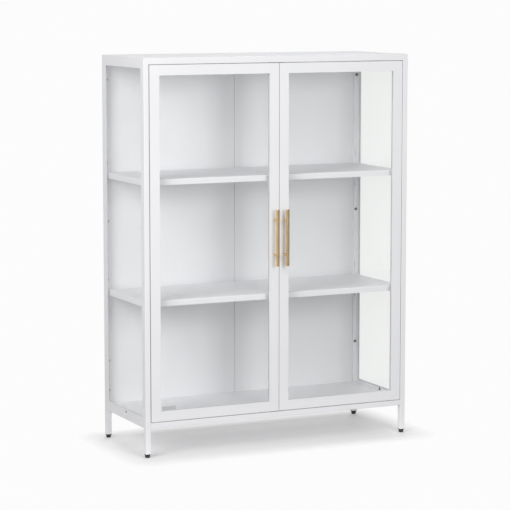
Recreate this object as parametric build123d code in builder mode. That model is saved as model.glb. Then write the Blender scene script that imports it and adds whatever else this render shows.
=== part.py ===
"""Glazed steel apothecary cabinet: welded tube case, two pivot-hung glass doors and two shelves.

Millimetres. +X is the cabinet's right as seen from the front, +Y is towards its back and +Z is up.
The origin is on the floor, in the middle of the overall width and depth, handles included.
"""

import os

from build123d import *

os.makedirs("parts", exist_ok=True)

# ---- Driving dimensions ------------------------------------------------------------------------
case_width = 800.0
case_depth = 305.0
case_height = 1080.0

# Square tube frame
tube = 15.0
tube_wall = 1.2
tube_round = 1.5
tube_inner_round = 0.5
foot_height = 10.0
rail_bottom = 80.0
lid_height = 17.0
lid_sheet = 2.0
front_top_rail_depth = 30.0

# Side glazing
glazing_thick = 5.0
glazing_lip = 1.2
glazing_rebate = 5.0
glazing_front_bar = 8.0
glazing_rear_bar = 15.0
glazing_bottom_bar = 15.0
glazing_top_bar = 11.0
side_glass_thick = 3.0
glass_edge_gap = 0.5

# Doors
side_gap = 2.0
meeting_gap = 1.5
end_gap = 2.0
member_width = 28.0
member_depth = 15.0
member_wall = 1.2
member_lip_width = 8.0
member_lip_depth = 5.0
door_glass_thick = 4.0
door_glass_inset = 21.0
gasket_thick = 2.5
stile_plug = 14.0

# Door pivots
pivot_from_edge = 14.0
pivot_from_face = 6.5
pin_radius = 2.0
pin_clearance = 0.06
pin_in_stile = 12.0
pin_in_rail = 10.0
pin_end_gap = 1.0
bush_radius = 3.2
bush_flange_radius = 4.0
bush_flange_thick = 1.4

# Bar handles
bar_radius = 5.0
bar_length = 156.0
handle_pitch = 96.0
bar_chamfer = 0.8
bar_standoff = 23.0
bar_from_middle = 15.0
handle_middle_z = 583.0
handle_post_radius = 3.0
handle_screw_radius = 2.0
handle_screw_head = 4.0
handle_screw_reach = 7.5

# Panels, shelves and small parts
panel_sheet = 1.0
shelf_bend = 2.5
back_panel_set_in = 9.0
back_panel_fold = 8.0
seam_half_gap = 0.5
seam_strip_width = 14.0
panel_gap = 0.4
floor_fold = 4.0
floor_side_gap = 1.0
floor_front_gap = 9.0
floor_rear_gap = 1.0
shelf_half_width = 391.0
shelf_fold = 16.0
shelf_front_gap = 24.0
shelf_rear_gap = 18.0
lowest_shelf_rise = 326.0
shelf_pitch = 329.0
peg_radius = 2.5
peg_row_x = 389.0
peg_hole_pitch = 46.0
peg_length = 12.0
post_screw_x = 390.8
post_screw_first = 221.5
post_screw_pitch = 395.0
screw_head_radius = 4.0
screw_head_thick = 2.0
screw_head_round = 0.7
screw_shank_radius = 2.0
screw_shank_length = 7.5

# Magnetic catch and the strike plates that meet it
catch_half_width = 24.0
catch_height = 16.0
catch_depth = 13.0
catch_round = 1.5
catch_gap = 1.7
strike_thick = 1.2
strike_width = 18.0
strike_height = 14.0
strike_round = 1.5
strike_from_middle = 13.0
strike_below_lid = 9.0

# Levelling feet and the plugs they screw into
foot_top_radius = 7.4
foot_bottom_radius = 5.8
foot_top_gap = 0.3
stem_radius = 3.0
stem_length = 20.0
stem_clearance = 0.06
plug_flange_thick = 1.5
plug_clearance = 0.1
plug_length = 22.0

# ---- Planes and levels worked out from them ----------------------------------------------------
handle_reach = bar_standoff + bar_radius
front = (handle_reach - case_depth) / 2
back = front + case_depth
side = case_width / 2
inner_side = side - tube
rail_top = rail_bottom + tube
lid_bottom = case_height - lid_height
door_bottom = rail_top + end_gap
door_top = lid_bottom - end_gap
door_edge = inner_side - side_gap
door_middle_edge = meeting_gap / 2
door_middle_z = (door_bottom + door_top) / 2
floor_top = rail_top + floor_fold
lower_shelf_top = floor_top + lowest_shelf_rise
shelf_tops = {"lower": lower_shelf_top, "upper": lower_shelf_top + shelf_pitch}
pivot_x = door_edge - pivot_from_edge
pivot_y = front + pivot_from_face
back_face = back - back_panel_set_in
sides = {"left": -1, "right": 1}
rows = {"front": front + tube / 2, "rear": back - tube / 2}
post_x = side - tube / 2
peg_levels = [top - shelf_fold - peg_radius for top in shelf_tops.values()]
post_screw_levels = [post_screw_first + i * post_screw_pitch for i in range(3)]
handle_post_levels = [handle_middle_z - handle_pitch / 2, handle_middle_z + handle_pitch / 2]


def save(builder, name):
    """Label a finished piece and write it as its own STEP file."""
    builder.part.label = name
    export_step(builder.part, f"parts/{name}.step")


def tube_section(width, height):
    """Draw a rectangular tube section at the current sketch location."""
    RectangleRounded(width, height, tube_round)
    RectangleRounded(width - 2 * tube_wall, height - 2 * tube_wall, tube_inner_round, mode=Mode.SUBTRACT)


def plane_x(x):
    """Plane across X, with local axes Y and Z, facing +X."""
    return Plane.YZ.offset(x)


def plane_y(y):
    """Plane across Y, with local axes X and Z, facing -Y."""
    return Plane.XZ.offset(-y)


# ---- Case frame --------------------------------------------------------------------------------
for row, y in rows.items():
    facing = 1 if row == "front" else -1
    inner_face_y = y + facing * tube / 2
    for hand, sign in sides.items():
        with BuildPart() as post:
            with BuildSketch(Plane.XY.offset(foot_height)):
                with Locations((sign * post_x, y)):
                    tube_section(tube, tube)
            extrude(amount=lid_bottom - foot_height)
            with BuildSketch(plane_y(inner_face_y)):
                for level in peg_levels:
                    for step in (-1, 0, 1):
                        with Locations((sign * peg_row_x, level + step * peg_hole_pitch)):
                            Circle(peg_radius)
                if row == "rear":
                    for level in post_screw_levels:
                        with Locations((sign * post_screw_x, level)):
                            Circle(screw_shank_radius)
            extrude(amount=facing * 2 * tube_wall, mode=Mode.SUBTRACT)
        save(post, f"post_{row}_{hand}")

    with BuildPart() as bottom_rail:
        with BuildSketch(plane_x(-inner_side)):
            with Locations((y, rail_bottom + tube / 2)):
                tube_section(tube, tube)
        extrude(amount=2 * inner_side)
        if row == "front":
            with BuildSketch(Plane.XY.offset(rail_top)):
                with Locations((-pivot_x, pivot_y), (pivot_x, pivot_y)):
                    Circle(bush_radius)
            extrude(amount=-2 * tube_wall, mode=Mode.SUBTRACT)
    save(bottom_rail, f"bottom_rail_{row}")

top_rail_height = lid_height - lid_sheet
top_rail_level = lid_bottom + top_rail_height / 2
top_rail_half = side - lid_sheet
top_front_y = front + lid_sheet
top_rear_y = back - lid_sheet

with BuildPart() as top_rail_front:
    with BuildSketch(plane_x(-top_rail_half)):
        with Locations((top_front_y + front_top_rail_depth / 2, top_rail_level)):
            tube_section(front_top_rail_depth, top_rail_height)
    extrude(amount=2 * top_rail_half)
    with BuildSketch(Plane.XY.offset(lid_bottom)):
        with Locations((-pivot_x, pivot_y), (pivot_x, pivot_y)):
            Circle(bush_radius)
    extrude(amount=2 * tube_wall, mode=Mode.SUBTRACT)
save(top_rail_front, "top_rail_front")

with BuildPart() as top_rail_rear:
    with BuildSketch(plane_x(-top_rail_half)):
        with Locations((top_rear_y - tube / 2, top_rail_level)):
            tube_section(tube, top_rail_height)
    extrude(amount=2 * top_rail_half)
save(top_rail_rear, "top_rail_rear")

for hand, sign in sides.items():
    with BuildPart() as bottom_rail_side:
        with BuildSketch(plane_y(back - tube)):
            with Locations((sign * post_x, rail_bottom + tube / 2)):
                tube_section(tube, tube)
        extrude(amount=case_depth - 2 * tube)
    save(bottom_rail_side, f"bottom_rail_{hand}")

    with BuildPart() as top_rail_side:
        with BuildSketch(plane_y(top_rear_y - tube)):
            with Locations((sign * (top_rail_half - tube / 2), top_rail_level)):
                tube_section(tube, top_rail_height)
        extrude(amount=top_rear_y - tube - top_front_y - front_top_rail_depth)
    save(top_rail_side, f"top_rail_{hand}")

# ---- Lid, floor and back -----------------------------------------------------------------------
with BuildPart() as top_panel:
    with BuildSketch(Plane.XY.offset(lid_bottom)):
        with Locations((0, (front + back) / 2)):
            RectangleRounded(case_width, case_depth, tube_round)
    extrude(amount=lid_height)
    fillet(top_panel.edges().group_by(Axis.Z)[-1], tube_round / 2)
    with BuildSketch(Plane.XY.offset(lid_bottom)):
        with Locations((0, (front + back) / 2)):
            Rectangle(case_width - 2 * lid_sheet, case_depth - 2 * lid_sheet)
    extrude(amount=top_rail_height, mode=Mode.SUBTRACT)
save(top_panel, "top_panel")

floor_half = side - glazing_thick - floor_side_gap
floor_front = front + tube + floor_front_gap
floor_rear = back_face - floor_rear_gap
notch_x = inner_side - panel_sheet / 2
notch_y = back - tube - panel_sheet / 2

with BuildPart() as bottom_panel:
    with BuildSketch(Plane.XY.offset(rail_top)):
        with BuildLine():
            Polyline(
                (-floor_half, floor_front),
                (floor_half, floor_front),
                (floor_half, notch_y),
                (notch_x, notch_y),
                (notch_x, floor_rear),
                (-notch_x, floor_rear),
                (-notch_x, notch_y),
                (-floor_half, notch_y),
                close=True,
            )
        make_face()
    extrude(amount=floor_fold)
    offset(amount=-panel_sheet, openings=bottom_panel.faces().sort_by(Axis.Z)[0])
save(bottom_panel, "bottom_panel")

for hand, sign in sides.items():
    panel_width = inner_side - panel_gap - seam_half_gap
    panel_middle = sign * (seam_half_gap + panel_width / 2)
    panel_height = lid_bottom - rail_top - 2 * panel_gap
    with BuildPart() as back_panel:
        with BuildSketch(plane_y(back_face + back_panel_fold)):
            with Locations((panel_middle, (rail_top + lid_bottom) / 2)):
                Rectangle(panel_width, panel_height)
        extrude(amount=back_panel_fold)
        offset(amount=-panel_sheet, openings=back_panel.faces().sort_by(Axis.Y)[-1])
    save(back_panel, f"back_panel_{hand}")

with BuildPart() as seam_strip:
    with BuildSketch(plane_y(back_face)):
        with Locations((seam_half_gap + seam_strip_width / 2, (floor_top + lid_bottom) / 2)):
            Rectangle(seam_strip_width, lid_bottom - floor_top - 2 * panel_gap)
    extrude(amount=panel_sheet)
save(seam_strip, "back_seam_strip")

# ---- Side glazing ------------------------------------------------------------------------------
bay_front = front + tube
bay_rear = back - tube
pane_front = bay_front + glazing_front_bar
pane_rear = bay_rear - glazing_rear_bar
pane_bottom = rail_top + glazing_bottom_bar
pane_top = lid_bottom - glazing_top_bar


def side_ring(x, thick, outer_grow, inner_grow):
    """Ring across X around the side pane's sight opening, from x outwards by thick."""
    middle = ((pane_front + pane_rear) / 2, (pane_bottom + pane_top) / 2)
    with BuildPart() as ring:
        with BuildSketch(plane_x(x)):
            with Locations(middle):
                Rectangle(pane_rear - pane_front + 2 * outer_grow, pane_top - pane_bottom + 2 * outer_grow)
                if inner_grow is not None:
                    Rectangle(
                        pane_rear - pane_front + 2 * inner_grow,
                        pane_top - pane_bottom + 2 * inner_grow,
                        mode=Mode.SUBTRACT,
                    )
        extrude(amount=thick)
    return ring


for hand, sign in sides.items():
    frame_x = -side if sign < 0 else side - glazing_thick
    rebate_depth = glazing_thick - glazing_lip
    rebate_x = -side + glazing_lip if sign < 0 else side - glazing_thick
    rebate = side_ring(rebate_x, rebate_depth, glazing_rebate, None)
    with BuildPart() as glazing_frame:
        with BuildSketch(plane_x(frame_x)):
            with Locations(((bay_front + bay_rear) / 2, (rail_top + lid_bottom) / 2)):
                Rectangle(bay_rear - bay_front, lid_bottom - rail_top)
            with Locations(((pane_front + pane_rear) / 2, (pane_bottom + pane_top) / 2)):
                Rectangle(pane_rear - pane_front, pane_top - pane_bottom, mode=Mode.SUBTRACT)
        extrude(amount=glazing_thick)
        add(rebate.part, mode=Mode.SUBTRACT)
    save(glazing_frame, f"glazing_frame_{hand}")

    glass_x = rebate_x if sign < 0 else rebate_x + rebate_depth - side_glass_thick
    side_glass = side_ring(glass_x, side_glass_thick, glazing_rebate - glass_edge_gap, None)
    save(side_glass, f"side_glass_{hand}")

    bead_thick = rebate_depth - side_glass_thick
    bead_x = glass_x + side_glass_thick if sign < 0 else rebate_x
    side_gasket = side_ring(bead_x, bead_thick, glazing_rebate - glass_edge_gap, 0)
    save(side_gasket, f"side_gasket_{hand}")

# ---- Shelves, pegs and case screws -------------------------------------------------------------
shelf_front = front + shelf_front_gap
shelf_rear = back - shelf_rear_gap

for shelf_name, top in shelf_tops.items():
    with BuildPart() as shelf:
        with BuildSketch(Plane.XY.offset(top - shelf_fold)):
            with Locations((0, (shelf_front + shelf_rear) / 2)):
                Rectangle(2 * shelf_half_width, shelf_rear - shelf_front)
        extrude(amount=shelf_fold)
        fillet(shelf.edges().group_by(Axis.Z)[-1], shelf_bend)
        offset(amount=-panel_sheet, openings=shelf.faces().sort_by(Axis.Z)[0])
    save(shelf, f"shelf_{shelf_name}")

    with BuildPart() as shelf_pegs:
        for face_y, facing in ((bay_front, 1), (bay_rear, -1)):
            with BuildSketch(plane_y(face_y - facing * tube_wall)):
                with Locations(
                    (-peg_row_x, top - shelf_fold - peg_radius),
                    (peg_row_x, top - shelf_fold - peg_radius),
                ):
                    Circle(peg_radius)
            extrude(amount=-facing * (peg_length + tube_wall))
    save(shelf_pegs, f"shelf_pegs_{shelf_name}")

for hand, sign in sides.items():
    with BuildPart() as post_screws:
        with BuildSketch(plane_y(bay_rear)):
            for level in post_screw_levels:
                with Locations((sign * post_screw_x, level)):
                    Circle(screw_head_radius)
        extrude(amount=screw_head_thick)
        head_rims = post_screws.edges().filter_by(GeomType.CIRCLE).group_by(Axis.Y)[0]
        fillet(head_rims, screw_head_round)
        with BuildSketch(plane_y(bay_rear)):
            for level in post_screw_levels:
                with Locations((sign * post_screw_x, level)):
                    Circle(screw_shank_radius)
        extrude(amount=-screw_shank_length)
    save(post_screws, f"post_screws_{hand}")

# ---- Door pivots in the case -------------------------------------------------------------------
for level_name, face_z, inward in (("lower", rail_top, -1), ("upper", lid_bottom, 1)):
    with BuildPart() as pivot_bushes:
        with BuildSketch(Plane.XY.offset(face_z)):
            with Locations((-pivot_x, pivot_y), (pivot_x, pivot_y)):
                Circle(bush_radius)
        extrude(amount=inward * pin_in_rail)
        with BuildSketch(Plane.XY.offset(face_z)):
            with Locations((-pivot_x, pivot_y), (pivot_x, pivot_y)):
                Circle(bush_flange_radius)
        extrude(amount=-inward * bush_flange_thick)
        with BuildSketch(Plane.XY.offset(face_z - inward * bush_flange_thick)):
            with Locations((-pivot_x, pivot_y), (pivot_x, pivot_y)):
                Circle(pin_radius + pin_clearance)
        extrude(amount=inward * (pin_in_rail + bush_flange_thick), mode=Mode.SUBTRACT)
    save(pivot_bushes, f"pivot_bushes_{level_name}")

# ---- Magnetic catch under the front top rail ---------------------------------------------------
catch_front = front + member_depth + catch_gap

with BuildPart() as magnetic_catch:
    with BuildSketch(Plane.XY.offset(lid_bottom)):
        with Locations((0, catch_front + catch_depth / 2)):
            Rectangle(2 * catch_half_width, catch_depth)
    extrude(amount=-catch_height)
    fillet(magnetic_catch.edges().group_by(Axis.Z)[0], catch_round)
save(magnetic_catch, "magnetic_catch")

# ---- Doors -------------------------------------------------------------------------------------


def member_section():
    """Hollow stile section: local x runs inwards from the outer edge, local y runs from face to back."""
    Polygon(
        (0, 0),
        (member_width, 0),
        (member_width, member_lip_depth),
        (member_width - member_lip_width, member_lip_depth),
        (member_width - member_lip_width, member_depth),
        (0, member_depth),
        align=None,
    )
    offset(amount=-member_wall, kind=Kind.INTERSECTION, mode=Mode.SUBTRACT)


def door_member(corner, inward, length):
    """Extrude the stile section from a corner on the door's face, with its lip pointing inwards."""
    across = Vector(*inward).cross(Vector(0, 1, 0))
    with BuildPart() as member:
        with BuildSketch(Plane(origin=corner, x_dir=inward, z_dir=across)):
            member_section()
        extrude(amount=length)
    return member


door_height = door_top - door_bottom
door_width = door_edge - door_middle_edge
rail_length = door_width - 2 * member_width
door_axis_x = (door_edge + door_middle_edge) / 2
plug_width = member_width - member_lip_width - 2 * member_wall
plug_depth = member_depth - 2 * member_wall
plug_centre_x = member_wall + plug_width / 2

for hand, sign in sides.items():
    stile_start = door_bottom if sign < 0 else door_top
    hinge_shell = door_member((sign * door_edge, front, stile_start), (-sign, 0, 0), door_height)
    with BuildPart() as hinge_stile:
        add(hinge_shell.part)
        for end_z, inward in ((door_bottom, 1), (door_top, -1)):
            with BuildSketch(Plane.XY.offset(end_z)):
                with Locations((sign * (door_edge - plug_centre_x), front + member_depth / 2)):
                    Rectangle(plug_width, plug_depth)
            extrude(amount=inward * stile_plug)
            with BuildSketch(Plane.XY.offset(end_z)):
                with Locations((sign * pivot_x, pivot_y)):
                    Circle(pin_radius)
            extrude(amount=inward * pin_in_stile, mode=Mode.SUBTRACT)
    save(hinge_stile, f"{hand}_door_hinge_stile")

    stile_start = door_top if sign < 0 else door_bottom
    meeting_shell = door_member((sign * door_middle_edge, front, stile_start), (sign, 0, 0), door_height)
    with BuildPart() as meeting_stile:
        add(meeting_shell.part)
        with BuildSketch(plane_y(front + member_depth)):
            for level in handle_post_levels:
                with Locations((sign * bar_from_middle, level)):
                    Circle(handle_screw_radius)
        extrude(amount=member_depth, mode=Mode.SUBTRACT)
    save(meeting_stile, f"{hand}_door_meeting_stile")

    left_end = min(sign * door_edge, sign * door_middle_edge) + member_width
    right_end = left_end + rail_length
    door_top_rail = door_member((left_end, front, door_top), (0, 0, -1), rail_length)
    save(door_top_rail, f"{hand}_door_top_rail")
    door_bottom_rail = door_member((right_end, front, door_bottom), (0, 0, 1), rail_length)
    save(door_bottom_rail, f"{hand}_door_bottom_rail")

    glass_front = front + member_lip_depth
    pane_width = door_width - 2 * door_glass_inset
    pane_height = door_height - 2 * door_glass_inset
    with BuildPart() as door_glass:
        with BuildSketch(plane_y(glass_front + door_glass_thick)):
            with Locations((sign * door_axis_x, door_middle_z)):
                Rectangle(pane_width, pane_height)
        extrude(amount=door_glass_thick)
    save(door_glass, f"{hand}_door_glass")

    with BuildPart() as door_gasket:
        with BuildSketch(plane_y(glass_front + door_glass_thick + gasket_thick)):
            with Locations((sign * door_axis_x, door_middle_z)):
                Rectangle(pane_width, pane_height)
                Rectangle(
                    door_width - 2 * member_width,
                    door_height - 2 * member_width,
                    mode=Mode.SUBTRACT,
                )
        extrude(amount=gasket_thick)
    save(door_gasket, f"{hand}_door_gasket")

    with BuildPart() as pivot_pins:
        for end_z, outward in ((door_bottom, -1), (door_top, 1)):
            with BuildSketch(Plane.XY.offset(end_z - outward * pin_in_stile)):
                with Locations((sign * pivot_x, pivot_y)):
                    Circle(pin_radius)
            extrude(amount=outward * (pin_in_stile + end_gap + pin_in_rail - pin_end_gap))
    save(pivot_pins, f"{hand}_door_pivot_pins")

    with BuildPart() as strike_plate:
        with BuildSketch(plane_y(front + member_depth + strike_thick)):
            with Locations((sign * strike_from_middle, lid_bottom - strike_below_lid)):
                RectangleRounded(strike_width, strike_height, strike_round)
        extrude(amount=strike_thick)
    save(strike_plate, f"{hand}_door_strike_plate")

    # Bar handle: the posts stand in shallow sockets in the bar
    bar_y = front - bar_standoff
    socket_y = bar_y + bar_radius / 2
    with BuildPart() as handle_bar:
        with BuildSketch(Plane.XY.offset(handle_middle_z - bar_length / 2)):
            with Locations((sign * bar_from_middle, bar_y)):
                Circle(bar_radius)
        extrude(amount=bar_length)
        chamfer(handle_bar.edges().filter_by(GeomType.CIRCLE), bar_chamfer)
        with BuildSketch(plane_y(front)):
            for level in handle_post_levels:
                with Locations((sign * bar_from_middle, level)):
                    Circle(handle_post_radius)
        extrude(amount=front - socket_y, mode=Mode.SUBTRACT)
    save(handle_bar, f"{hand}_door_handle_bar")

    with BuildPart() as handle_posts:
        with BuildSketch(plane_y(front)):
            for level in handle_post_levels:
                with Locations((sign * bar_from_middle, level)):
                    Circle(handle_post_radius)
        extrude(amount=front - socket_y)
        with BuildSketch(plane_y(front)):
            for level in handle_post_levels:
                with Locations((sign * bar_from_middle, level)):
                    Circle(handle_screw_radius)
        extrude(amount=handle_screw_reach, mode=Mode.SUBTRACT)
    save(handle_posts, f"{hand}_door_handle_posts")

    with BuildPart() as handle_screws:
        with BuildSketch(plane_y(front + member_depth + screw_head_thick)):
            for level in handle_post_levels:
                with Locations((sign * bar_from_middle, level)):
                    Circle(handle_screw_head)
        extrude(amount=screw_head_thick)
        with BuildSketch(plane_y(front + member_depth)):
            for level in handle_post_levels:
                with Locations((sign * bar_from_middle, level)):
                    Circle(handle_screw_radius)
        extrude(amount=member_depth + handle_screw_reach)
    save(handle_screws, f"{hand}_door_handle_screws")

# ---- Levelling feet ----------------------------------------------------------------------------
plug_size = tube - 2 * tube_wall - 2 * plug_clearance
foot_top = foot_height - plug_flange_thick - foot_top_gap

with BuildPart() as leg_plugs:
    for base, size, thick in (
        (foot_height, plug_size, plug_length),
        (foot_height - plug_flange_thick, tube, plug_flange_thick),
    ):
        with BuildSketch(Plane.XY.offset(base)):
            for y in rows.values():
                for sign in sides.values():
                    with Locations((sign * post_x, y)):
                        RectangleRounded(size, size, tube_round)
                        Circle(stem_radius + stem_clearance, mode=Mode.SUBTRACT)
        extrude(amount=thick)
save(leg_plugs, "leg_plugs")

for row, y in rows.items():
    for hand, sign in sides.items():
        with BuildPart() as foot:
            with BuildSketch():
                with Locations((sign * post_x, y)):
                    Circle(foot_bottom_radius)
            with BuildSketch(Plane.XY.offset(foot_top)):
                with Locations((sign * post_x, y)):
                    Circle(foot_top_radius)
            loft()
            with BuildSketch(Plane.XY.offset(foot_top)):
                with Locations((sign * post_x, y)):
                    Circle(stem_radius)
            extrude(amount=stem_length)
        save(foot, f"foot_{row}_{hand}")
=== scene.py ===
"""Studio scene for the glazed steel apothecary cabinet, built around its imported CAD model.

Metres, in the frame of the CAD model: +X is the cabinet's right as seen from the front, +Y is
towards its back and +Z is up. Every CAD node keeps its mesh and gets a procedural finish. The
screws, rivets, welds, feet, catch poles and label made here each ride on a body, and some of
them stand in for a plain CAD node.
"""

import math

import bpy
from mathutils import Matrix, Vector


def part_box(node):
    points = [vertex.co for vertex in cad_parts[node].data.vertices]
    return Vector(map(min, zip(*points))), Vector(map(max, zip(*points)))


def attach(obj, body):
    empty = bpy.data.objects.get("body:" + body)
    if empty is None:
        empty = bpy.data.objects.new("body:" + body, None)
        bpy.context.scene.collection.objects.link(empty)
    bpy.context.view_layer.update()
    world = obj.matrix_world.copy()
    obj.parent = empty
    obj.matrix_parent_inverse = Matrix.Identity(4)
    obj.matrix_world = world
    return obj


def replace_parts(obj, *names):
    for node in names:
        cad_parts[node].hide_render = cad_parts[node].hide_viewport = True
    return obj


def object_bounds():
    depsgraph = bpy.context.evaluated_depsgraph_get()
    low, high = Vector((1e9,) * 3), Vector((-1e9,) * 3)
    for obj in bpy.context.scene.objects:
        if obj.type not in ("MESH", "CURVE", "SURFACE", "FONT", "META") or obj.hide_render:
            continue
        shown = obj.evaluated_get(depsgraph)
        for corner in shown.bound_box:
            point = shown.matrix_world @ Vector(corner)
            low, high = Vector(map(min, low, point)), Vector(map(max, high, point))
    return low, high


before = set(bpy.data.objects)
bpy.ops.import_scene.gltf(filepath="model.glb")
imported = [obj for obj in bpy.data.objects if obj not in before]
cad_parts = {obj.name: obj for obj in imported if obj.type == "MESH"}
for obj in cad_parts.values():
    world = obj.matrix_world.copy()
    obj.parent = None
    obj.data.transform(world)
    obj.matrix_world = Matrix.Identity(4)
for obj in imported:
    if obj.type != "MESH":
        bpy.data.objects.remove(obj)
cad_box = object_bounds()

MM = 0.001
SIDES = {"left": -1, "right": 1}

# ---- Camera and studio -------------------------------------------------------------------------
CAMERA_FROM_FRONT = (-2.527, -5.200, 1.266)
CAMERA_YAW = math.radians(25.256)
CAMERA_PITCH = math.radians(7.222)
CAMERA_LENS = 149.27
CAMERA_REACH = 100.0
BACKDROP_LEVEL = 0.973

# Soft boxes: place, aim, side and power
SOFT_BOXES = {
    "key": ((0.1, -2.9, 1.2), (0.0, 0.0, 0.6), 1.0, 28.0),
    "left_fill": ((-2.5, -1.5, 1.7), (0.0, 0.0, 0.5), 1.5, 50.0),
    "overhead": ((0.0, 0.0, 3.0), (0.0, 0.0, 0.0), 1.5, 20.0),
    "rear_fill": ((1.5, 2.5, 1.8), (0.0, 0.0, 0.5), 1.5, 30.0),
}
# Lamps whose square would stand in the door glass or on the lid
UNMIRRORED_LAMPS = ("key", "rear_fill")
# Even light from all around
SURROUND_LEVEL = 0.35

FLOOR_RADIUS = 14.0
FLOOR_SIDES = 96
FLOOR_ALBEDO = 0.70
FLOOR_MOTTLE = 0.01
FLOOR_NEAR_GLOW = 0.18
FLOOR_FAR_GLOW = 0.45
FLOOR_FADE = 0.08


# ---- Node materials ----------------------------------------------------------------------------
class Finish:
    """A procedural material on one Principled shader, with a method for each kind of node."""

    def __init__(self, name, **values):
        self.material = bpy.data.materials.new(name)
        self.material.use_nodes = True
        self.tree = self.material.node_tree
        self.shader = self.tree.nodes["Principled BSDF"]
        for words, value in values.items():
            socket = words.replace("_", " ").title().replace("Ior", "IOR")
            self.shader.inputs[socket].default_value = value
        self.place = self.node("ShaderNodeTexCoord").outputs["Object"]

    def node(self, kind, inputs=None, **settings):
        """Add a node with these settings, and link or set these inputs."""
        made = self.tree.nodes.new(kind)
        for key, value in settings.items():
            setattr(made, key, value)
        for key, value in (inputs or {}).items():
            if isinstance(value, bpy.types.NodeSocket):
                self.tree.links.new(value, made.inputs[key])
            else:
                made.inputs[key].default_value = value
        return made

    def drive(self, socket, source):
        """Feed one socket of the shader."""
        self.tree.links.new(source, self.shader.inputs[socket])

    def noise(self, scale, detail=2.0, stretch=(1, 1, 1)):
        """Noise from 0 to 1 with this many waves per metre, stretched along axes whose number is small."""
        stretched = self.node("ShaderNodeVectorMath", {0: self.place, 1: stretch}, operation="MULTIPLY")
        inputs = {"Vector": stretched.outputs[0], "Scale": scale, "Detail": detail}
        return self.node("ShaderNodeTexNoise", inputs).outputs["Fac"]

    def cells(self, scale):
        """A random level for each cell of a mosaic."""
        inputs = {"Vector": self.place, "Scale": scale}
        colour = self.node("ShaderNodeTexVoronoi", inputs).outputs["Color"]
        return self.node("ShaderNodeSeparateColor", {"Color": colour}).outputs["Red"]

    def spread(self, source, low, high, start=0.3, end=0.7):
        """Take a source that runs from start to end to a value from low to high."""
        inputs = {"Value": source, "From Min": start, "From Max": end, "To Min": low, "To Max": high}
        return self.node("ShaderNodeMapRange", inputs).outputs["Result"]

    def blend(self, share, first, second):
        """Mix two colours."""
        mixer = self.node("ShaderNodeMix", data_type="RGBA")
        colour_inputs = [socket for socket in mixer.inputs if socket.type == "RGBA"]
        self.tree.links.new(share, mixer.inputs["Factor"])
        for socket, value in zip(colour_inputs, (first, second)):
            if isinstance(value, bpy.types.NodeSocket):
                self.tree.links.new(value, socket)
            else:
                socket.default_value = (*value, 1.0)
        return next(socket for socket in mixer.outputs if socket.type == "RGBA")

    def edges(self, radius):
        """1 on sharp edges and 0 on flat faces."""
        rounded = self.node("ShaderNodeBevel", {"Radius": radius}, samples=4).outputs["Normal"]
        flat = self.node("ShaderNodeNewGeometry").outputs["Normal"]
        lined_up = self.node("ShaderNodeVectorMath", {0: rounded, 1: flat}, operation="DOT_PRODUCT")
        return self.spread(lined_up.outputs["Value"], 1.0, 0.0, start=0.72, end=0.99)

    def bump(self, *layers):
        """Stack bumps, each a height source and its depth in metres, into the shader's normal."""
        normal = None
        for height, depth in layers:
            inputs = {"Height": height, "Distance": depth, "Strength": 1.0}
            if normal is not None:
                inputs["Normal"] = normal
            normal = self.node("ShaderNodeBump", inputs).outputs["Normal"]
        self.drive("Normal", normal)


def powder_coat():
    """White satin powder coat: orange peel, faint clouding, and thinner coat on the edges."""
    finish = Finish("powder_coat", specular_ior_level=0.45)
    clouds = finish.noise(5.0, detail=3.0)
    grain = finish.noise(420.0)
    body = finish.blend(finish.spread(clouds, 0, 1), (0.835, 0.836, 0.856), (0.862, 0.863, 0.882))
    speckled = finish.blend(finish.spread(grain, 0, 0.25, 0.45, 0.75), body, (0.80, 0.80, 0.815))
    worn = finish.spread(finish.noise(60.0, detail=4.0), 0.15, 0.6)
    edge = finish.node("ShaderNodeMath", {0: finish.edges(0.0012), 1: worn}, operation="MULTIPLY").outputs[0]
    finish.drive("Base Color", finish.blend(edge, speckled, (0.70, 0.705, 0.72)))
    finish.drive("Roughness", finish.spread(finish.noise(35.0, detail=3.0), 0.40, 0.54))
    finish.bump((finish.noise(380.0, detail=1.0), 0.00006), (finish.noise(1500.0), 0.000012))
    return finish.material


def clear_glass():
    """Clear float glass with a green cast and faint wiping marks. It lets lamps straight through."""
    finish = Finish("float_glass", transmission_weight=1.0, ior=1.5)
    marks = finish.noise(14.0, detail=4.0, stretch=(1, 1, 0.35))
    finish.drive("Roughness", finish.spread(marks, 0.0, 0.035, 0.5, 0.8))
    tint = finish.blend(finish.spread(marks, 0, 1), (0.981, 0.990, 0.981), (0.972, 0.982, 0.972))
    finish.drive("Base Color", tint)
    finish.bump((finish.noise(3.0, detail=0.0), 0.00008))
    path = finish.node("ShaderNodeLightPath").outputs
    rays = {0: path["Is Shadow Ray"], 1: path["Is Diffuse Ray"]}
    lit = finish.node("ShaderNodeMath", rays, operation="MAXIMUM").outputs[0]
    through = finish.node("ShaderNodeBsdfTransparent").outputs[0]
    surface = finish.node("ShaderNodeMixShader", {0: lit, 1: finish.shader.outputs[0], 2: through})
    output = finish.tree.nodes["Material Output"]
    finish.tree.links.new(surface.outputs[0], output.inputs["Surface"])
    return finish.material


def gasket_rubber():
    """Grey rubber with a dusty, slightly uneven skin."""
    finish = Finish("glazing_rubber", specular_ior_level=0.3)
    dust = finish.noise(90.0, detail=4.0)
    body = finish.blend(finish.spread(dust, 0, 1), (0.56, 0.57, 0.57), (0.66, 0.67, 0.67))
    finish.drive("Base Color", body)
    finish.drive("Roughness", finish.spread(dust, 0.62, 0.82))
    finish.bump((finish.noise(900.0), 0.00003))
    return finish.material


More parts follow.
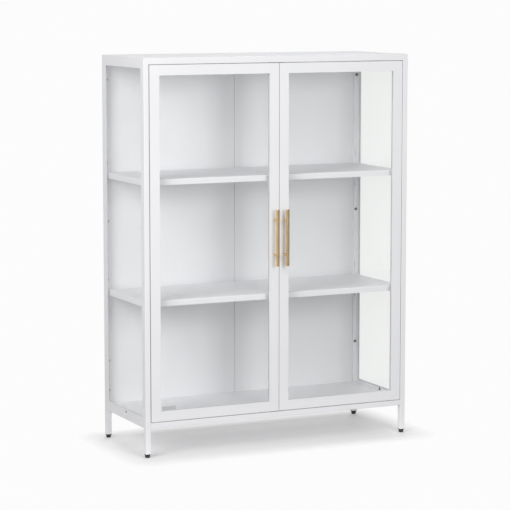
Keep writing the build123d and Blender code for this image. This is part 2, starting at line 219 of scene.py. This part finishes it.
def satin_brass():
    """Champagne brass, brushed along the handle and polished a little by hands at its edges."""
    finish = Finish("satin_brass", metallic=1.0, anisotropic=0.35)
    lines = finish.noise(1800.0, detail=3.0, stretch=(1, 1, 0.02))
    patina = finish.noise(45.0, detail=4.0)
    body = finish.blend(finish.spread(patina, 0, 1), (0.74, 0.53, 0.27), (0.84, 0.63, 0.35))
    finish.drive("Base Color", finish.blend(finish.edges(0.0008), body, (0.88, 0.72, 0.45)))
    finish.drive("Roughness", finish.spread(lines, 0.26, 0.44))
    finish.bump((lines, 0.00002))
    return finish.material


def blackened_steel():
    """Blackened screws, rubbed to bare steel on their edges."""
    finish = Finish("blackened_steel", metallic=1.0)
    stain = finish.noise(350.0, detail=4.0)
    body = finish.blend(finish.spread(stain, 0, 1), (0.10, 0.10, 0.105), (0.17, 0.17, 0.175))
    finish.drive("Base Color", finish.blend(finish.edges(0.0004), body, (0.42, 0.42, 0.43)))
    finish.drive("Roughness", finish.spread(stain, 0.34, 0.55))
    finish.bump((finish.noise(2600.0), 0.000012))
    return finish.material


def zinc_plate():
    """Bright zinc plate with a fine spangle."""
    finish = Finish("zinc_plate", metallic=1.0)
    spangle = finish.cells(900.0)
    haze = finish.noise(160.0, detail=4.0)
    body = finish.blend(finish.spread(spangle, 0, 1, 0, 1), (0.54, 0.55, 0.575), (0.68, 0.69, 0.71))
    finish.drive("Base Color", finish.blend(finish.spread(haze, 0, 0.6), body, (0.47, 0.48, 0.49)))
    finish.drive("Roughness", finish.spread(haze, 0.24, 0.46))
    finish.bump((spangle, 0.000008), (finish.noise(2200.0), 0.00001))
    return finish.material


def moulded_plastic(name, dark, light, glossy, matt):
    """Moulded plastic with a spark-eroded skin that is paler where it is scuffed."""
    finish = Finish(f"{name}_plastic_skin", specular_ior_level=0.4)
    scuff = finish.noise(220.0, detail=5.0)
    finish.drive("Base Color", finish.blend(finish.spread(scuff, 0, 1), dark, light))
    finish.drive("Roughness", finish.spread(scuff, glossy, matt))
    finish.bump((finish.noise(1700.0, detail=3.0), 0.00004))
    return finish.material


def label_film():
    """Blank printed film: a pale grey field with a faint mottle from the glue behind it."""
    finish = Finish("label_film", specular_ior_level=0.5)
    glue = finish.noise(260.0, detail=5.0)
    body = finish.blend(finish.spread(glue, 0, 1), (0.47, 0.48, 0.48), (0.56, 0.57, 0.57))
    finish.drive("Base Color", body)
    finish.drive("Roughness", finish.spread(glue, 0.35, 0.5))
    finish.bump((finish.noise(700.0), 0.00002))
    return finish.material


FINISHES = {
    "white_paint": powder_coat(),
    "clear_glass": clear_glass(),
    "gasket": gasket_rubber(),
    "satin_gold": satin_brass(),
    "dark_screw": blackened_steel(),
    "zinc_steel": zinc_plate(),
    "black_plastic": moulded_plastic("black", (0.018, 0.018, 0.020), (0.045, 0.045, 0.048), 0.5, 0.7),
    "white_plastic": moulded_plastic("white", (0.74, 0.74, 0.73), (0.82, 0.82, 0.81), 0.35, 0.5),
}
LABEL_FINISH = label_film()

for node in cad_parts.values():
    for holder in node.material_slots:
        holder.material = FINISHES[holder.material.name]


# ---- Meshes made of rings ----------------------------------------------------------------------
RING_POINTS = 48
SMOOTH_ANGLE = math.radians(35)


def circle(radius):
    """Outline of a round ring."""
    return lambda angle: radius


def hexagon(across_flats):
    """Outline of a hexagon."""
    step = math.pi / 3
    return lambda angle: across_flats / 2 / math.cos((angle + step / 2) % step - step / 2)


def cross(arm, half_width):
    """Outline of a cross-head recess."""

    def outline(angle):
        quarter = math.pi / 2
        turn = abs((angle + quarter / 2) % quarter - quarter / 2)
        return min(arm / math.cos(turn), half_width / max(math.sin(turn), 1e-6))

    return outline


def ribbed(radius, count, depth):
    """Outline of a grip with ribs."""
    return lambda angle: radius - depth * (0.5 + 0.5 * math.cos(count * angle)) ** 2


def ring(outline, height):
    """One ring of points round local Z at a height."""
    points = []
    for i in range(RING_POINTS):
        angle = 2 * math.pi * i / RING_POINTS
        radius = outline(angle)
        points.append(Vector((radius * math.cos(angle), radius * math.sin(angle), height)))
    return points


def skin(rings):
    """Vertices and faces of the closed skin over rings of equal length."""
    count = len(rings[0])
    vertices = [point for points in rings for point in points]
    faces = [tuple(reversed(range(count)))]
    for level in range(len(rings) - 1):
        first = level * count
        for i in range(count):
            j = (i + 1) % count
            faces.append((first + i, first + j, first + count + j, first + count + i))
    faces.append(tuple(range(len(vertices) - count, len(vertices))))
    return vertices, faces


def add(name, data, place=(0, 0, 0)):
    """Link a new object into the scene."""
    made = bpy.data.objects.new(name, data)
    made.location = place
    bpy.context.scene.collection.objects.link(made)
    return made


def piece(name, parts, body, slot=None, finish=None):
    """Join skins, each with the matrix that places it, into one piece that rides on a body."""
    vertices, faces = [], []
    for (points, polygons), placed in parts:
        first = len(vertices)
        vertices += [placed @ point for point in points]
        faces += [tuple(first + i for i in polygon) for polygon in polygons]
    mesh = bpy.data.meshes.new(name)
    mesh.from_pydata(vertices, [], faces)
    mesh.shade_smooth()
    mesh.set_sharp_from_angle(angle=SMOOTH_ANGLE)
    mesh.materials.append(finish or FINISHES[slot])
    made = add(name, mesh)
    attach(made, body)
    return made


def facing(place, direction):
    """Matrix that stands local Z along a direction at a place."""
    turn = Vector(direction).to_track_quat("Z", "Y").to_matrix().to_4x4()
    return Matrix.Translation(Vector(place)) @ turn


def screw(head, thick, recess, shank, length):
    """Skin of a domed screw whose head sits on local Z 0, with a drive recess in its top."""
    depth = 0.6 * thick
    return skin(
        [
            ring(circle(0.6 * shank), -length),
            ring(circle(shank), -0.93 * length),
            ring(circle(shank), 0),
            ring(circle(head), 0),
            ring(circle(head), 0.35 * thick),
            ring(circle(0.95 * head), 0.66 * thick),
            ring(circle(0.84 * head), 0.88 * thick),
            ring(circle(0.68 * head), thick),
            ring(recess, thick),
            ring(lambda angle: 0.86 * recess(angle), thick - depth),
            ring(circle(0.08 * head), thick - 1.25 * depth),
        ]
    )


def rivet(head, thick):
    """Skin of a low domed rivet on local Z 0."""
    steps = 6
    levels = [math.pi / 2 * i / steps for i in range(steps)]
    dome = [ring(circle(head * math.cos(a)), thick * (0.25 + 0.75 * math.sin(a))) for a in levels]
    shank = [ring(circle(0.7 * head), -thick), ring(circle(head), 0)]
    crown = [ring(circle(0.06 * head), thick)]
    return skin(shank + dome + crown)


def plate(width, height, corner, thick):
    """Skin of a rounded plate that stands on local Z 0, with softened rims."""
    soft = min(0.3 * thick, 0.5 * corner)

    def outline(inset, level):
        points = []
        half_x, half_y = width / 2 - inset, height / 2 - inset
        radius = max(corner - inset, 0.1 * corner)
        for i in range(RING_POINTS):
            quadrant, step = divmod(i, RING_POINTS // 4)
            angle = math.pi / 2 * (quadrant + step / (RING_POINTS // 4 - 1))
            x_sign = 1 if quadrant in (0, 3) else -1
            y_sign = 1 if quadrant in (0, 1) else -1
            x = x_sign * (half_x - radius) + radius * math.cos(angle)
            y = y_sign * (half_y - radius) + radius * math.sin(angle)
            points.append(Vector((x, y, level)))
        return points

    rings = [outline(0, 0), outline(0, thick - soft)]
    rings += [outline(0.3 * soft, thick - 0.3 * soft), outline(soft, thick)]
    return skin(rings)


# ---- Case screws and rivets --------------------------------------------------------------------
post_faces = {side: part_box(f"post_rear_{side}")[0].y for side in SIDES}
screw_boxes = {side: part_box(f"post_screws_{side}") for side in SIDES}
SCREW_HEAD = 4.0 * MM
SCREW_THICK = 2.0 * MM
SCREW_SHANK = 1.9 * MM
SCREW_LENGTH = 7.0 * MM
HEXAGON_ACROSS = 2.5 * MM
CROSS_ARM = 2.3 * MM
CROSS_HALF_WIDTH = 0.5 * MM
button_screw = screw(SCREW_HEAD, SCREW_THICK, hexagon(HEXAGON_ACROSS), SCREW_SHANK, SCREW_LENGTH)

for side in SIDES:
    low, high = screw_boxes[side]
    levels = [low.z + SCREW_HEAD, (low.z + high.z) / 2, high.z - SCREW_HEAD]
    middle = (low.x + high.x) / 2
    heads = [(button_screw, facing((middle, post_faces[side], level), (0, -1, 0))) for level in levels]
    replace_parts(piece(f"case_screws_{side}", heads, "case", "dark_screw"), f"post_screws_{side}")

for side in SIDES:
    low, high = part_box(f"{side}_door_handle_screws")
    rear_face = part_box(f"{side}_door_meeting_stile")[1].y
    levels = [low.z + SCREW_HEAD, high.z - SCREW_HEAD]
    middle = (low.x + high.x) / 2
    recess = cross(CROSS_ARM, CROSS_HALF_WIDTH)
    long_screw = screw(SCREW_HEAD, high.y - rear_face, recess, SCREW_SHANK, rear_face - low.y)
    heads = [(long_screw, facing((middle, rear_face, level), (0, 1, 0))) for level in levels]
    holder = piece(f"handle_fixings_{side}", heads, f"{side}_door", "zinc_steel")
    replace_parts(holder, f"{side}_door_handle_screws")

RIVET_HEAD = 2.4 * MM
RIVET_THICK = 0.9 * MM
RIVET_INSET = 7.5 * MM
RIVET_COUNT = 4
GLAZING_SCREW_SHARE = 0.46
for side, sign in SIDES.items():
    low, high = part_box(f"glazing_frame_{side}")
    inner_face = high.x if sign < 0 else low.x
    spots = []
    for i in range(RIVET_COUNT):
        share = (i + 0.5) / RIVET_COUNT
        spots.append((inner_face, low.y + share * (high.y - low.y), low.z + RIVET_INSET))
    domes = [(rivet(RIVET_HEAD, RIVET_THICK), facing(spot, (-sign, 0, 0))) for spot in spots]
    piece(f"glazing_rivets_{side}", domes, "case", "white_paint")
    middle = (inner_face, low.y + GLAZING_SCREW_SHARE * (high.y - low.y), low.z + RIVET_INSET)
    middle_screw = [(button_screw, facing(middle, (-sign, 0, 0)))]
    piece(f"glazing_screw_{side}", middle_screw, "case", "dark_screw")

# A lone screw low on the left rear post
LOW_SCREW_Z = 137.0 * MM
low_screw_x = (screw_boxes["left"][0].x + screw_boxes["left"][1].x) / 2
low_screw_place = facing((low_screw_x, post_faces["left"], LOW_SCREW_Z), (0, -1, 0))
piece("low_post_screw", [(button_screw, low_screw_place)], "case", "dark_screw")

# Screws through the right back panel that hold the strip beside the joint of the two panels
strip_low, strip_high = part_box("back_seam_strip")
SHEET_THICK = 1.0 * MM
sheet_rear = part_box("back_panel_right")[0].y + SHEET_THICK
SEAM_SCREWS = 6
SEAM_END = 40 * MM
SEAM_HEAD = 3.0 * MM
SEAM_HEAD_THICK = 1.6 * MM
SEAM_SHANK = 1.3 * MM
SEAM_ARM = 1.8 * MM
SEAM_HALF_WIDTH = 0.4 * MM
seam_recess = cross(SEAM_ARM, SEAM_HALF_WIDTH)
seam_screw = screw(SEAM_HEAD, SEAM_HEAD_THICK, seam_recess, SEAM_SHANK, 2 * SHEET_THICK)
seam_spots = []
for i in range(SEAM_SCREWS):
    share = i / (SEAM_SCREWS - 1)
    level = strip_low.z + SEAM_END + share * (strip_high.z - strip_low.z - 2 * SEAM_END)
    seam_spots.append(((strip_low.x + strip_high.x) / 2, sheet_rear, level))
piece("seam_screws", [(seam_screw, facing(spot, (0, 1, 0))) for spot in seam_spots], "case", "zinc_steel")

# ---- Welds where the bottom rails meet the posts -----------------------------------------------
WELD_LENGTH = 12.0 * MM
WELD_RADIUS = 0.9 * MM
WELD_RIPPLES = 9
WELD_RINGS = 46
WELD_RIPPLE_DEPTH = 0.12
WELD_TIP = 0.02
WELD_BLUNTNESS = 0.35


def weld():
    """Skin of a rippled bead along local Z."""
    rings = []
    for i in range(WELD_RINGS):
        share = i / (WELD_RINGS - 1)
        ripple = 1 + WELD_RIPPLE_DEPTH * math.sin(2 * math.pi * WELD_RIPPLES * share)
        along = min(max(share, WELD_TIP), 1 - WELD_TIP)
        taper = math.sin(math.pi * along) ** WELD_BLUNTNESS
        rings.append(ring(circle(WELD_RADIUS * ripple * taper), (share - 0.5) * WELD_LENGTH))
    return skin(rings)


for row in ("front", "rear"):
    for side, sign in SIDES.items():
        post_low, post_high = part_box(f"post_{row}_{side}")
        rail_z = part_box(f"bottom_rail_{row}")[0].z
        inner_x = post_high.x if sign < 0 else post_low.x
        inner_y = post_high.y if row == "front" else post_low.y
        post_middle = (post_low + post_high) / 2
        beads = [
            (weld(), facing((inner_x, post_middle.y, rail_z), (0, 1, 0))),
            (weld(), facing((post_middle.x, inner_y, rail_z), (1, 0, 0))),
        ]
        piece(f"welds_{row}_{side}", beads, "case", "white_paint")

# ---- Levelling feet ----------------------------------------------------------------------------
STEM_RADIUS = 3.0 * MM
THREAD_DEPTH = 0.3 * MM
THREAD_PITCH = 1.0 * MM
THREAD_STEPS = 6
PAD_GAP = 0.3 * MM
PAD_SOLE = 0.4 * MM
PAD_RIM = 1.6 * MM
PAD_GRIP = 2.0 * MM
PAD_RIBS = 16
RIB_DEPTH_LOW = 0.2 * MM
RIB_DEPTH_HIGH = 0.4 * MM
STEM_START = 0.9


def threaded_stem(bottom, top):
    """Skin of a threaded rod along local Z."""
    count = int((top - bottom) / THREAD_PITCH * THREAD_STEPS)
    rings = []
    for i in range(count + 1):
        height = bottom + (top - bottom) * i / count
        turn = 2 * math.pi * height / THREAD_PITCH
        rings.append(
            ring(lambda a, t=turn: STEM_RADIUS - THREAD_DEPTH * (0.5 - 0.5 * math.cos(a - t)), height)
        )
    return skin(rings)


for row in ("front", "rear"):
    for side in SIDES:
        body = f"foot_{row}_{side}"
        low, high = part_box(body)
        centre = Matrix.Translation(((low.x + high.x) / 2, (low.y + high.y) / 2, low.z))
        wide = (high.x - low.x) / 2
        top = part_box("leg_plugs")[0].z - low.z - PAD_GAP
        pad = skin(
            [
                ring(circle(0.76 * wide), 0),
                ring(circle(0.81 * wide), PAD_SOLE),
                ring(circle(0.85 * wide), PAD_RIM),
                ring(ribbed(0.88 * wide, PAD_RIBS, RIB_DEPTH_LOW), PAD_GRIP),
                ring(ribbed(0.98 * wide, PAD_RIBS, RIB_DEPTH_HIGH), 0.80 * top),
                ring(circle(wide), 0.84 * top),
                ring(circle(wide), 0.95 * top),
                ring(circle(0.94 * wide), top),
            ]
        )
        holder = piece(f"{body}_pad", [(pad, centre)], body, "black_plastic")
        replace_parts(holder, body)
        stem = threaded_stem(STEM_START * top, high.z - low.z)
        piece(f"{body}_stem", [(stem, centre)], body, "zinc_steel")

# ---- Magnetic catch: pole plates in its front face ---------------------------------------------
catch_low, catch_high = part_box("magnetic_catch")
POLE_WIDTH = 16.0 * MM
POLE_HEIGHT = 2.0 * MM
POLE_PROUD = 0.3 * MM
POLE_INSET = 4.0 * MM
POLE_CORNER = 0.5 * MM
POLE_FROM_MIDDLE = 13.0 * MM
poles = []
for sign in SIDES.values():
    for level in (catch_low.z + POLE_INSET, catch_high.z - POLE_INSET):
        spot = (sign * POLE_FROM_MIDDLE, catch_low.y, level)
        pole = plate(POLE_WIDTH, POLE_HEIGHT, POLE_CORNER, POLE_PROUD)
        poles.append((pole, facing(spot, (0, -1, 0))))
piece("catch_poles", poles, "case", "zinc_steel")

# ---- Blank label on the left door's glass ------------------------------------------------------
LABEL_SIZE = (39 * MM, 10 * MM)
LABEL_FROM_HINGE_STILE = 5.5 * MM
LABEL_FROM_RAIL = 7.0 * MM
LABEL_CORNER = 1.0 * MM
LABEL_THICK = 0.15 * MM
stile_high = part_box("left_door_hinge_stile")[1]
rail_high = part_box("left_door_bottom_rail")[1]
glass_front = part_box("left_door_glass")[0].y
label_x = stile_high.x + LABEL_FROM_HINGE_STILE + LABEL_SIZE[0] / 2
label_z = rail_high.z + LABEL_FROM_RAIL
label = plate(*LABEL_SIZE, LABEL_CORNER, LABEL_THICK)
piece(
    "glass_label",
    [(label, facing((label_x, glass_front, label_z), (0, -1, 0)))],
    "left_door",
    finish=LABEL_FINISH,
)

# ---- Camera, lights, floor and world -----------------------------------------------------------
camera_data = bpy.data.cameras.new("camera")
camera_data.lens = CAMERA_LENS
camera_data.clip_end = CAMERA_REACH
front_face = Vector((0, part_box("post_front_left")[0].y, 0))
camera = add("camera", camera_data, front_face + Vector(CAMERA_FROM_FRONT))
camera.rotation_euler = (math.pi / 2 - CAMERA_PITCH, 0, -CAMERA_YAW)
bpy.context.scene.camera = camera
bpy.context.scene.view_settings.view_transform = "Standard"


def soft_box(name, place, aim, size, power):
    """A square lamp that faces a point."""
    data = bpy.data.lights.new(name, "AREA")
    data.shape = "SQUARE"
    data.size = size
    data.energy = power
    made = add(name, data, place)
    made.rotation_euler = (Vector(aim) - Vector(place)).to_track_quat("-Z", "Y").to_euler()
    return made


for name, (place, aim, size, power) in SOFT_BOXES.items():
    lamp = soft_box(name, place, aim, size, power)
    lamp.visible_glossy = name not in UNMIRRORED_LAMPS
    lamp.visible_transmission = name not in UNMIRRORED_LAMPS


def studio_floor():
    """A pale floor that takes the cabinet's soft shadow and fades into the backdrop further out."""
    finish = Finish("studio_floor", roughness=0.9, specular_ior_level=0.1, emission_strength=1.0)
    grain = finish.spread(finish.noise(30.0, detail=3.0), 0, 1)
    low_albedo = (FLOOR_ALBEDO - FLOOR_MOTTLE,) * 3
    high_albedo = (FLOOR_ALBEDO + FLOOR_MOTTLE,) * 3
    finish.drive("Base Color", finish.blend(grain, low_albedo, high_albedo))
    near_glow = (FLOOR_NEAR_GLOW,) * 3
    finish.shader.inputs["Emission Color"].default_value = (*near_glow, 1)
    # How far a point lies outside the cabinet's footprint
    half = (cad_box[1] - cad_box[0]) / 2
    mirrored = finish.node("ShaderNodeVectorMath", {0: finish.place}, operation="ABSOLUTE").outputs[0]
    inputs = {0: mirrored, 1: (half.x, half.y, 0)}
    past = finish.node("ShaderNodeVectorMath", inputs, operation="SUBTRACT").outputs[0]
    outside = finish.node("ShaderNodeVectorMath", {0: past, 1: (0, 0, 0)}, operation="MAXIMUM").outputs[0]
    distance = finish.node("ShaderNodeVectorMath", {0: outside}, operation="LENGTH").outputs["Value"]
    share = finish.spread(distance, 0, 1, 0, FLOOR_FADE)
    path = finish.node("ShaderNodeLightPath").outputs
    looks = {0: path["Is Camera Ray"], 1: path["Is Transmission Ray"]}
    looked_at = finish.node("ShaderNodeMath", looks, operation="MAXIMUM").outputs[0]
    level = finish.spread(looked_at, FLOOR_FAR_GLOW, BACKDROP_LEVEL, 0, 1)
    glow = finish.node("ShaderNodeEmission", {"Color": (1, 1, 1, 1), "Strength": level})
    inputs = {0: share, 1: finish.shader.outputs[0], 2: glow.outputs[0]}
    surface = finish.node("ShaderNodeMixShader", inputs)
    output = finish.tree.nodes["Material Output"]
    finish.tree.links.new(surface.outputs[0], output.inputs["Surface"])
    finish.material.cycles.emission_sampling = "NONE"
    return finish.material


floor_mesh = bpy.data.meshes.new("floor")
rim = [2 * math.pi * i / FLOOR_SIDES for i in range(FLOOR_SIDES)]
rim_points = [(FLOOR_RADIUS * math.cos(a), FLOOR_RADIUS * math.sin(a), 0) for a in rim]
floor_mesh.from_pydata(rim_points, [], [tuple(range(FLOOR_SIDES))])
floor_mesh.materials.append(studio_floor())
add("floor", floor_mesh)


def studio_world():
    """A white surround to look at, and even light from the same surround."""
    world = bpy.data.worlds.new("studio")
    world.use_nodes = True
    bpy.context.scene.world = world
    nodes, links = world.node_tree.nodes, world.node_tree.links
    seen = nodes["Background"]
    seen.inputs["Strength"].default_value = BACKDROP_LEVEL
    seen.inputs["Color"].default_value = (1, 1, 1, 1)
    lighting = nodes.new("ShaderNodeBackground")
    lighting.inputs["Strength"].default_value = SURROUND_LEVEL
    lighting.inputs["Color"].default_value = (1, 1, 1, 1)
    path = nodes.new("ShaderNodeLightPath").outputs
    looked_at = nodes.new("ShaderNodeMath")
    looked_at.operation = "MAXIMUM"
    links.new(path["Is Camera Ray"], looked_at.inputs[0])
    links.new(path["Is Transmission Ray"], looked_at.inputs[1])
    mixer = nodes.new("ShaderNodeMixShader")
    links.new(looked_at.outputs[0], mixer.inputs[0])
    links.new(lighting.outputs[0], mixer.inputs[1])
    links.new(seen.outputs[0], mixer.inputs[2])
    links.new(mixer.outputs[0], nodes["World Output"].inputs["Surface"])


studio_world()
